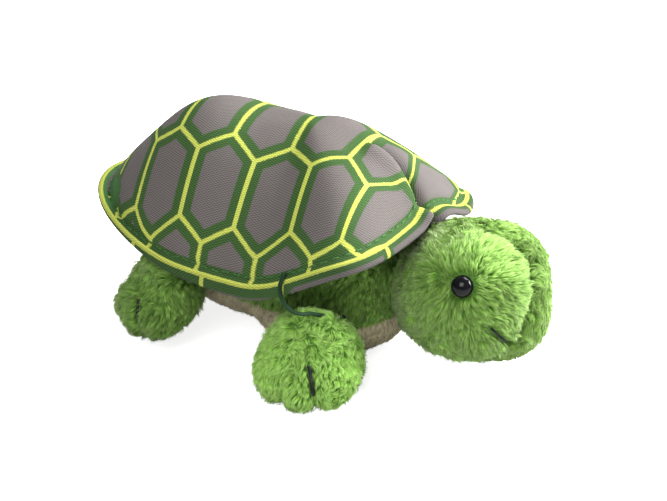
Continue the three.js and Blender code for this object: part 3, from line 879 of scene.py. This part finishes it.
def settle(places):
    """The shell as it lies: slack along the ridge, low at the far front corner, sewn into a dart in front."""
    x, y = places[:, 0], places[:, 1]
    ridge = sum(
        rise * np.exp(-((x - middle) / RIDGE_LONG) ** 2 - (y / RIDGE_WIDE) ** 2) for middle, rise in RIDGE)
    corner = droop(x, y)
    # The near side of the dart rolls over its far side
    fold = np.where(y > 0, 0.6 * np.exp(-y / 1.6) + 0.4 * np.exp(-y / 6), np.exp(y / 0.6))
    fold = fold - 0.3 * bell(y + 4, 3)
    valley = DART_DEPTH * smoothstep(x, DART_TIP, DART_TIP + 5) * fold
    drawn = DART_DRAW * smoothstep(x, 24, 34) * bell(y, 2.4)
    return np.column_stack([x + SHELL_X - drawn, y, places[:, 2] + ridge - corner - valley])


def make_shell():
    bm = bmesh.new()
    bmesh.ops.create_grid(bm, x_segments=240, y_segments=110, size=1)
    angle_layer = bm.verts.layers.float.new("angle")
    along_layer = bm.verts.layers.float.new("along")
    for vertex in bm.verts:
        vertex[angle_layer] = vertex.co.x * math.pi
        vertex[along_layer] = np.interp((vertex.co.y + 1) / 2, [0, 0.66, 0.82, 1], [0, 1, 2, 3])
    spread = np.array([(vertex[angle_layer], vertex[along_layer]) for vertex in bm.verts])
    for vertex, place in zip(bm.verts, cover_places(*spread.T)):
        vertex.co = place * MM
    close_up(bm)
    mesh = mesh_of(bm, "shell_cloth")
    angle, along = np.empty(len(mesh.vertices)), np.empty(len(mesh.vertices))
    mesh.attributes["angle"].data.foreach_get("value", angle)
    mesh.attributes["along"].data.foreach_get("value", along)
    places = places_of(mesh)
    radius = plan_radius(angle) * np.clip(along, 0, 1)
    u, v = flat_place(radius * np.cos(angle), radius * np.sin(angle))
    inside, past = rim_lengths(angle, along)
    u, v = u + np.cos(angle) * past, v + np.sin(angle) * past
    for past_end, take in ((u - DART_START, DART_TAKE), (TAIL_START - u, TAIL_TAKE)):
        v = v + np.sign(v) * take * (np.hypot(past_end, 3) + past_end) / 2
    u = u - LINE_LEAN * v ** 2
    around = np.linspace(0, math.pi, 361)
    edge = np.column_stack([plan_radius(around) * np.cos(around), plan_radius(around) * np.sin(around)])
    rim_length = np.concatenate([[0], np.cumsum(np.linalg.norm(np.diff(edge, axis=0), axis=1))])
    round_rim = np.interp(np.abs(angle), around, rim_length)
    # The leaf at the tail is made paler, and painted shade darkens the fold of the dart
    x, y = places[:, 0], places[:, 1]
    pale_tail_and_painted_shade = PALE_TAIL * smoothstep(-x, 48, 53) * smoothstep(inside, 0, 1) * (1 - smoothstep(inside, 7, 8.5))
    dark = smoothstep(x, DART_TIP, DART_TIP + 4) * np.where(y > 0, np.exp(-y / 2.2), np.exp(y / 0.4))
    pale_tail_and_painted_shade = pale_tail_and_painted_shade - DART_PAINTED_SHADE * dark
    add_map(mesh, "OFBake", np.column_stack([u, v]) / CLOTH_SPAN + 0.5)
    layer = mesh.attributes.new("rim", "FLOAT_VECTOR", "POINT")
    layer.data.foreach_set("vector", np.column_stack([round_rim, inside, pale_tail_and_painted_shade]).astype(np.float32).ravel())
    for name in ("angle", "along"):
        mesh.attributes.remove(mesh.attributes[name])
    # Stitched valley just inside the border
    places = places - normals_of(mesh) * (STITCH_DEPTH * bell(inside - STITCH_IN, 0.9))[:, None]
    put_places(mesh, settle(places))
    shell = piece("shell_cloth", mesh, shell_finish(), "body", "shell_weave", "shell_cover", "shell_wadding")
    add_wall(shell, SHELL_WALL, -1)
    return shell


def make_underside():
    bm = bmesh.new()
    bmesh.ops.create_grid(bm, x_segments=96, y_segments=20, size=1)
    spread = np.array([vertex.co for vertex in bm.verts])
    angle = spread[:, 0] * math.pi
    share = (spread[:, 1] + 1) / 2
    plan = plan_radius(angle) - HEM_WIDTH + 1.5
    edge = rim_height(angle) - towards_end(angle, SIDE_DROP, LIP_DROP, TAIL_DROP) + 0.6
    height = SHELL_SEAT + 0.4 + (edge - SHELL_SEAT - 0.4) * share ** 3
    places = np.column_stack([plan * share * np.cos(angle), plan * share * np.sin(angle), height])
    corner = droop(places[:, 0], places[:, 1])
    places = places + np.column_stack([0 * corner + SHELL_X, 0 * corner, -corner])
    for vertex, place in zip(bm.verts, places):
        vertex.co = place * MM
    close_up(bm)
    mesh = mesh_of(bm, "shell_underside")
    underside = piece("shell_underside", mesh, lining, "body", "lining_cloth", "shell_lining")
    add_wall(underside, LINING_WALL, 0)


# Thread and cord


def thread_curve(name, lines, thickness, material, body, slot, *nodes):
    """A thread along smooth lines through points."""
    curve = bpy.data.curves.new(name, "CURVE")
    curve.dimensions = "3D"
    curve.bevel_depth = thickness / 2 * MM
    curve.bevel_resolution = 3
    curve.resolution_u = 8
    curve.use_fill_caps = True
    for points in lines:
        line = curve.splines.new("BEZIER")
        line.bezier_points.add(len(points) - 1)
        for knot, place in zip(line.bezier_points, points):
            knot.co = Vector(place) * MM
            knot.handle_left_type = knot.handle_right_type = "AUTO"
    return piece(name, curve, material, body, slot, *nodes)


def add_topstitch(shell):
    """A row of stitches just inside the border, each sunk into the cloth at its ends."""
    angles = np.linspace(-math.pi, math.pi, 721)
    along = np.linspace(0.6, 1.6, 40)
    inside = rim_lengths(np.repeat(angles, len(along)), np.tile(along, len(angles)))[0]
    levels = inside.reshape(len(angles), -1)
    row = np.array([np.interp(STITCH_IN, level[::-1], along[::-1]) for level in levels])
    line = settle(cover_places(angles, row))
    run = np.concatenate([[0], np.cumsum(np.linalg.norm(np.diff(line, axis=0), axis=1))])
    bm = bmesh.new()
    bm.from_mesh(shell.data)
    cloth = bvhtree.BVHTree.FromBMesh(bm)
    bm.free()
    stitches = []
    for start in np.arange(0, run[-1] - STITCH_STEP, STITCH_STEP):
        points = []
        for share, lift in ((0, -0.3), (0.5, 0.15), (1, -0.3)):
            at = start + share * STITCH_LENGTH
            on_line = Vector([np.interp(at, run, axis) for axis in line.T]) * MM
            place, normal = cloth.find_nearest(on_line)[:2]
            points.append((place + normal * lift * MM) / MM)
        stitches.append(points)
    thread_curve("topstitch", stitches, STITCH_THICKNESS, stitch_thread, "body", "shell_weave")


def add_loop():
    loop = thread_curve(
        "hang_cord", [LOOP_ROUTE], LOOP_THICKNESS, loop_elastic, "body", "loop_elastic", "hang_loop")
    bpy.context.view_layer.update()


# Head


def head_skin(directions, inset):
    half = HEAD_HALF - inset
    return HEAD_MIDDLE + directions * reach(directions, half, HEAD_POWER)[:, None]


def mouth_line(side, first, last, count, lift):
    shares = np.linspace(first, last, count)[:, None]
    line = MOUTH_CORNER * (1 - shares) + MOUTH_FRONT * shares
    return head_skin(unit(handed(line, side)), -lift)


def off_seam(places):
    """Distance from the seam of the face, which leans to one side as it was sewn."""
    return places[:, 1] + FACE_LEAN * np.clip(FACE_TOP - places[:, 2], -4, 21)


def by_seam(places):
    """1 on the seam down the face, and 0 away from it."""
    along = smoothstep(places[:, 0], HEAD_MIDDLE[0], HEAD_MIDDLE[0] + 8) * smoothstep(places[:, 2], 14, 26)
    return bell(off_seam(places), 1.7) * along


# Tone of the head's pile, with painted shade along the seam of the face
def head_shade(root):
    return 0.33 - 0.25 * by_seam(root)


def head_trim(root):
    """Pile is short along the seam and under the lip of the shell."""
    return (1 - 0.5 * by_seam(root)) * (0.5 + 0.5 * smoothstep(root[:, 0], 26, 31))


def make_head():
    mesh = ball_mesh("head_form", 5)
    directions = unit(places_of(mesh))
    places = head_skin(directions, HEAD_INSET)
    outward = unit(directions / HEAD_HALF)
    for side in (1, -1):
        for middle, rise in HEAD_BULGES:
            off = np.linalg.norm(directions - unit(handed(middle, side)), axis=1)
            places = places + outward * (rise * bell(off, BULGE_SPREAD))[:, None]
    # Seam down the middle of the face, sockets of the eyes and creases of the mouth
    front = smoothstep(directions[:, 0], 0, 0.42)
    gathers = 1 + 0.12 * np.sin(np.arctan2(directions[:, 2], directions[:, 0]) * 15)
    sewn = bell(off_seam(places), 1.5) * front
    deep = CHIN_GROOVE + BROW_GROOVE * smoothstep(places[:, 2], 16, 27)
    fold = deep * bell(off_seam(places), GROOVE_WIDTH) * front * gathers
    for side in (1, -1):
        socket = np.linalg.norm(places - handed(EYE_PLACE, side), axis=1)
        line = mouth_line(side, -0.3, 1.2, 14, -2)
        crease = np.linalg.norm(places[:, None] - line[None], axis=2).min(1)
        fold = fold + SOCKET_DEPTH * bell(socket, SOCKET_WIDTH) + CREASE_DEPTH * bell(crease, CREASE_WIDTH)
        sewn = np.maximum(sewn, np.maximum(bell(socket, 3), bell(crease, 1.3)))
    put_places(mesh, places - outward * fold[:, None])
    swell(mesh, sewn, 1.2, 5)
    head = piece("head_form", mesh, green_backing, "head", "green_plush",
                 "head_panel_left", "head_panel_right", "head_stuffing")
    for side, name in ((1, "left"), (-1, "right")):
        eye = handed(EYE_PLACE, side)

        def comb(root, eye=eye):
            lean = 0.8 * unit(root - eye) + np.array([0.2, 0, -0.2])
            lean[:, 1] *= 1 - 0.9 * bell(off_seam(root), 4)
            return lean

        for part, ahead in (("face", True), ("nape", False)):
            def keep(root, eye=eye, side=side, ahead=ahead):
                own = (off_seam(root) * side > 0) & ((root[:, 0] > HEAD_MIDDLE[0]) == ahead)
                return own & (np.linalg.norm(root - eye, axis=1) > EYE_RADIUS)

            lay_pile(f"head_pile_{name}_{part}", head, green_pile, "head", "green_plush", comb, **HEAD_PILE,
                     shade=head_shade, seed=11 + side, keep=keep, trim=head_trim,
                     clear=mouth_line(side, -0.1, 0.7, 12, 0.4))


def add_eye(side, name):
    """A domed plastic eye with its shank, turned round its own axis."""
    dome = [(math.cos(rise) * EYE_RADIUS, math.sin(rise) * EYE_DOME)
            for rise in np.radians([75, 60, 45, 30, 15, 4])]
    shank = [(SHANK_RADIUS, -0.5), (SHANK_RADIUS, -SHANK_LENGTH), (0, -SHANK_LENGTH)]
    profile = [(0, EYE_DOME), *dome, (EYE_RADIUS - 0.25, -0.35), *shank]
    bm = turned([(radius, 0, height) for radius, height in profile], (0, 0, 1), 40)
    turn = Vector(handed(EYE_NORMAL, side)).to_track_quat("Z", "Y").to_matrix()
    bmesh.ops.rotate(bm, verts=bm.verts, cent=(0, 0, 0), matrix=turn)
    bmesh.ops.translate(bm, verts=bm.verts, vec=Vector(handed(EYE_PLACE, side)) * MM)
    mesh = mesh_of(bm, f"eye_dome_{name}")
    piece(f"eye_dome_{name}", mesh, eye_plastic, "head", "eye_plastic", f"eye_{name}")


def add_mouth(side, name):
    line = mouth_line(side, -0.12, 0.5, 7, 0.1)
    thread_curve(f"mouth_thread_{name}", [line], MOUTH_THICKNESS, black_thread, "head", "black_thread",
                 f"mouth_stitch_{name}")


# Body


def body_trim(root):
    """Pile is shorter on the chest, behind the head."""
    return 1 - 0.4 * smoothstep(root[:, 0], 19, 23)


def make_body():
    mesh = ball_mesh("body_form", 5)
    directions = unit(places_of(mesh))
    half = BODY_HALF - BODY_INSET
    chest = smoothstep(directions[:, 0], 0, CHEST_START)[:, None]
    half = half - np.array([0, 0, BELLY_LIFT]) * (1 - chest) * (directions[:, 2:] < 0)
    out = reach(directions, half, RUMP_POWER + (CHEST_POWER - RUMP_POWER) * chest)
    places = BODY_MIDDLE + directions * out[:, None]
    off = np.linalg.norm(directions - unit(CHEST), axis=1)
    places = places + directions * (CHEST_FULL * bell(off, CHEST_SPREAD))[:, None]
    seam = bell(places[:, 2] + SEAM_FALL * places[:, 0] - SEAM_HEIGHT, SEAM_WIDTH)
    put_places(mesh, places - directions * (SEAM_DEPTH * seam)[:, None])
    sewn = np.maximum(seam, (places[:, 0] < OPENING_X + 3) | (places[:, 2] < 1.5) | (places[:, 2] > 35))
    swell(mesh, sewn, 1, 4)
    press_flat(mesh)
    for name, above, backing, pile, fibres, slot, *nodes in (
            ("back", True, green_backing, green_pile, BACK_PILE, "green_plush",
             "back_panel", "body_stuffing"),
            ("belly", False, tan_backing, tan_pile, BELLY_PILE, "belly_plush", "belly_panel")):
        bm = bmesh.new()
        bm.from_mesh(mesh)
        across = Vector((SEAM_FALL, 0, 1)) * (-1 if above else 1)
        for place, away in (((OPENING_X * MM, 0, 0), (-1, 0, 0)), ((0, 0, SEAM_HEIGHT * MM), across)):
            everything = bm.verts[:] + bm.edges[:] + bm.faces[:]
            bmesh.ops.bisect_plane(bm, geom=everything, plane_co=place, plane_no=away, clear_outer=True)
        cloth = piece(f"{name}_cloth", mesh_of(bm, f"{name}_cloth"), backing, "body", slot, *nodes)

        for label, side in (("left", 1), ("right", -1)):
            def keep(root, above=above, side=side):
                return ((root[:, 2] < SEAT_HEIGHT) | (not above)) & (root[:, 1] * side > 0)

            lay_pile(f"{name}_pile_{label}", cloth, pile, "body", slot, lambda root: BODY_COMB, **fibres,
                     seed=21 + above, keep=keep, trim=body_trim)
        add_wall(cloth, BODY_WALL, -1)


def make_sleeve():
    """A cloth pocket, with its lip turned out round the opening."""
    end = OPENING_X + FINGER_DEPTH
    outer = FINGER_RADIUS + 1
    profile = [
        (end, 0), (end, 5), (end - 3, FINGER_RADIUS), (OPENING_X - 0.6, FINGER_RADIUS),
        (OPENING_X - 1.4, FINGER_RADIUS + 0.8), (OPENING_X - 1.2, FINGER_RADIUS + 2.4),
        (OPENING_X - 0.3, FINGER_RADIUS + 2.8), (OPENING_X + 0.1, outer + 0.4), (OPENING_X + 1.5, outer),
        (end - 3, outer), (end + 0.7, 5.6), (end + 1, 0)]
    bm = turned([(x, 0, radius) for x, radius in profile], (1, 0, 0), 48)
    bmesh.ops.translate(bm, verts=bm.verts, vec=(0, 0, BODY_MIDDLE[2] * MM))
    piece("sleeve_cloth", mesh_of(bm, "sleeve_cloth"), sleeve, "body", "lining_cloth", "finger_sleeve")


def make_neck():
    mesh = ball_mesh("neck_form", 4)
    put_places(mesh, NECK_MIDDLE + unit(places_of(mesh)) * (NECK_RADIUS - NECK_INSET))
    neck = piece("neck_form", mesh, green_backing, "neck", "green_plush", "neck_core")

    def keep(root):
        return np.abs(root[:, 0] - NECK_MIDDLE[0]) < NECK_BAND

    lay_pile("neck_pile", neck, green_pile, "neck", "green_plush", lambda root: NECK_COMB, **NECK_PILE,
             seed=51, keep=keep)


# Paws


def paw_skin(paw, directions, inset):
    half = np.array(paw["half"]) - inset
    out = reach(directions, half, PAW_POWER)
    around = np.abs(np.arctan2(directions[:, 1], directions[:, 0]))
    notch = TOE_NOTCH / paw["half"][0] * bell(around - TOE_ANGLE, TOE_SPREAD)
    narrow = np.column_stack([1 - notch, 1 - notch, np.ones_like(notch)])
    return directions * out[:, None] * narrow


def paw_turn(paw, side):
    turn, slope = math.radians(paw["turn"]) * side, math.radians(paw["slope"])
    cos, sin = math.cos(slope), math.sin(slope)
    level = np.array([[cos, 0, sin], [0, 1, 0], [-sin, 0, cos]])
    cos, sin = math.cos(turn), math.sin(turn)
    return np.array([[cos, -sin, 0], [sin, cos, 0], [0, 0, 1]]) @ level


def make_paw(kind, side, name):
    paw = PAWS[kind]
    leg = f"{kind}_leg_{name}"
    middle = handed(paw["place"], side)
    shift = handed(paw["shift"], side)
    turn = paw_turn(paw, side)
    mesh = ball_mesh(f"{leg}_paw", 5)
    directions = unit(places_of(mesh))
    around = np.abs(np.arctan2(directions[:, 1], directions[:, 0]))
    notch = bell(around - TOE_ANGLE, NOTCH_SPREAD) * smoothstep(directions[:, 0], 0.35, 0.75)
    seam = bell(directions[:, 2], SOLE_SEAM_WIDTH)
    places = paw_skin(paw, directions, PAW_INSET)
    places = places - directions * (notch * NOTCH_DEPTH + seam * SOLE_SEAM_DEPTH)[:, None]
    places[:, 1] *= paw["broad"]
    shoulder = smoothstep(-directions[:, 0], -0.2, 0.9) * smoothstep(directions[:, 2], 0, 0.6)
    places[:, 2] += paw["shoulder"] * shoulder
    put_places(mesh, places @ turn.T + middle + shift)
    swell(mesh, np.maximum(notch, seam), 0.9, 5)
    press_flat(mesh)
    form = piece(f"{leg}_paw", mesh, green_backing, leg, "green_plush",
                 f"{leg}_upper", f"{leg}_sole", f"{leg}_stuffing")
    towards_toes = turn @ np.array([1, 0, 0])
    for toe in (1, -1):
        rise = np.radians(np.linspace(*CLAW_RISE, 12))
        level = np.cos(rise)
        across = TOE_ANGLE * toe
        line = np.column_stack([level * math.cos(across), level * math.sin(across), np.sin(rise)])
        label = "inner" if toe * side < 0 else "outer"
        points = paw_skin(paw, line, -CLAW_LIFT[label]) @ turn.T + middle + shift
        if label == "inner":
            stitches = points
        thread_curve(f"{leg}_thread_{label}", [points[::2]], CLAW_THICKNESS, black_thread, leg,
                     "black_thread", f"{leg}_claw_{label}")

    def comb(root):
        return towards_toes * 0.7 + unit(root - middle) * 0.7 + np.array([0, 0, -0.3])

    lay_pile(f"{leg}_pile", form, green_pile, leg, "green_plush", comb, **PAW_PILE, shade=paw["shade"],
             seed=31 + side + 4 * len(kind), clear=stitches)


# The scene


def add_stage():
    scene = bpy.context.scene
    scene.view_settings.view_transform = "Standard"
    bm = bmesh.new()
    bmesh.ops.create_grid(bm, x_segments=1, y_segments=1, size=3)
    floor = bpy.data.objects.new("floor", mesh_of(bm, "floor", smooth=False))
    scene.collection.objects.link(floor)
    finish = Finish("floor_white", Base_Color=grey(FLOOR_COLOUR), Roughness=0.9, Emission_Strength=1)
    seen = finish.node("ShaderNodeLightPath", {}, {}, "Is Camera Ray")
    finish.set("Emission Color", finish.mix(seen, grey(0), grey(FLOOR_GLOW)))
    floor.data.materials.append(finish.material)

    world = bpy.data.worlds.new("studio")
    world.use_nodes = True
    scene.world = world
    nodes, links = world.node_tree.nodes, world.node_tree.links
    sky = nodes["Background"]
    sky.inputs["Color"].default_value = grey(1)
    path = nodes.new("ShaderNodeLightPath")
    strength = nodes.new("ShaderNodeMapRange")
    links.new(path.outputs["Is Camera Ray"], strength.inputs["Value"])
    strength.inputs["To Min"].default_value = SKY_LIGHT
    strength.inputs["To Max"].default_value = 1
    links.new(strength.outputs["Result"], sky.inputs["Strength"])
    for name, lamp in LAMPS.items():
        add_lamp(name, *lamp)


add_camera()
add_loop()
add_stage()
add_topstitch(make_shell())
make_underside()
make_head()
make_neck()
make_body()
make_sleeve()
for mirror, hand in ((1, "left"), (-1, "right")):
    add_eye(mirror, hand)
    add_mouth(mirror, hand)
    for pair in PAWS:
        make_paw(pair, mirror, hand)
washer_plastic = washer_finish()
for hand in ("left", "right"):
    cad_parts[f"eye_washer_{hand}"].material_slots[0].material = washer_plastic
